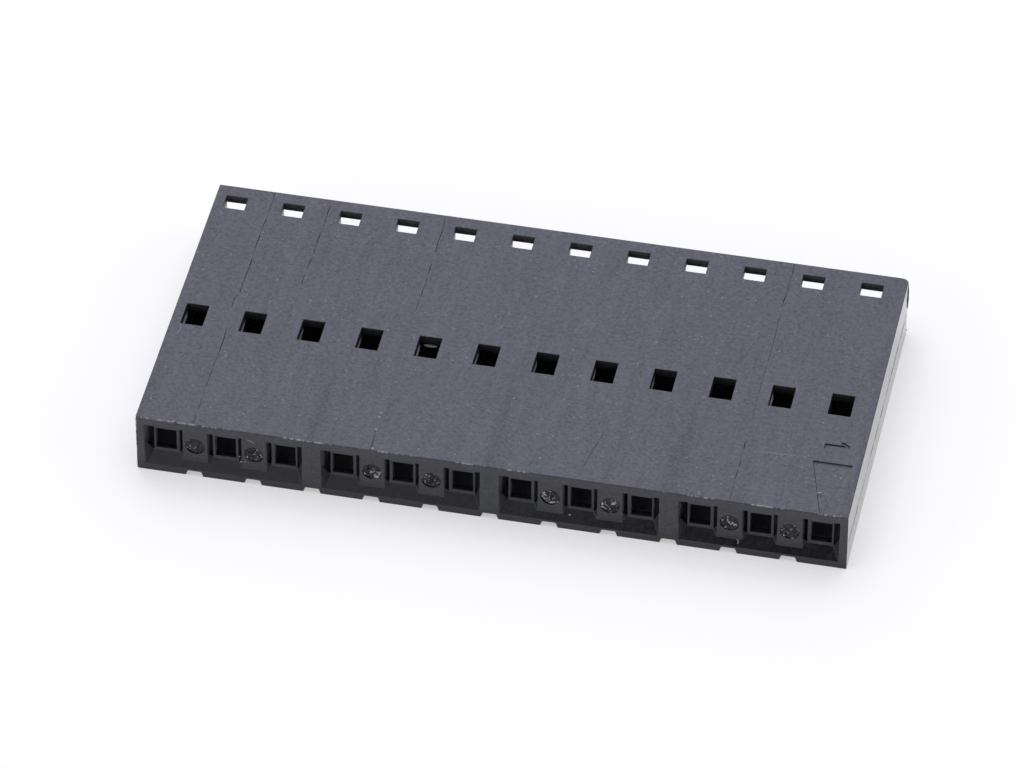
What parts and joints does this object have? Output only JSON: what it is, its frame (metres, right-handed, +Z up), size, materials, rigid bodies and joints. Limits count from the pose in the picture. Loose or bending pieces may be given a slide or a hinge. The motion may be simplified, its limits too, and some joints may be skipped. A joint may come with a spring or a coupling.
{
  "type": "crimp terminal housing",
  "caption": "Flat moulded housing with a single row of crimp terminal cavities, a square pin hole for each at the mating face, and locking and rear windows in its top face.",
  "frame": {"origin": "middle of the underside, on the surface that the housing lies on", "axes": "+X along the row of circuits towards circuit 1, +Y from the mating face towards the wire entry, +Z up through the windows"},
  "size_m": [0.0304, 0.0152, 0.0029],
  "materials": {
    "housing": "black glass-filled polyester, as moulded: matt, with a fine grey bloom and pale fibre specks"
  },
  "bodies": {
    "root": {"housing": "housing"}
  },
  "joints": []
}
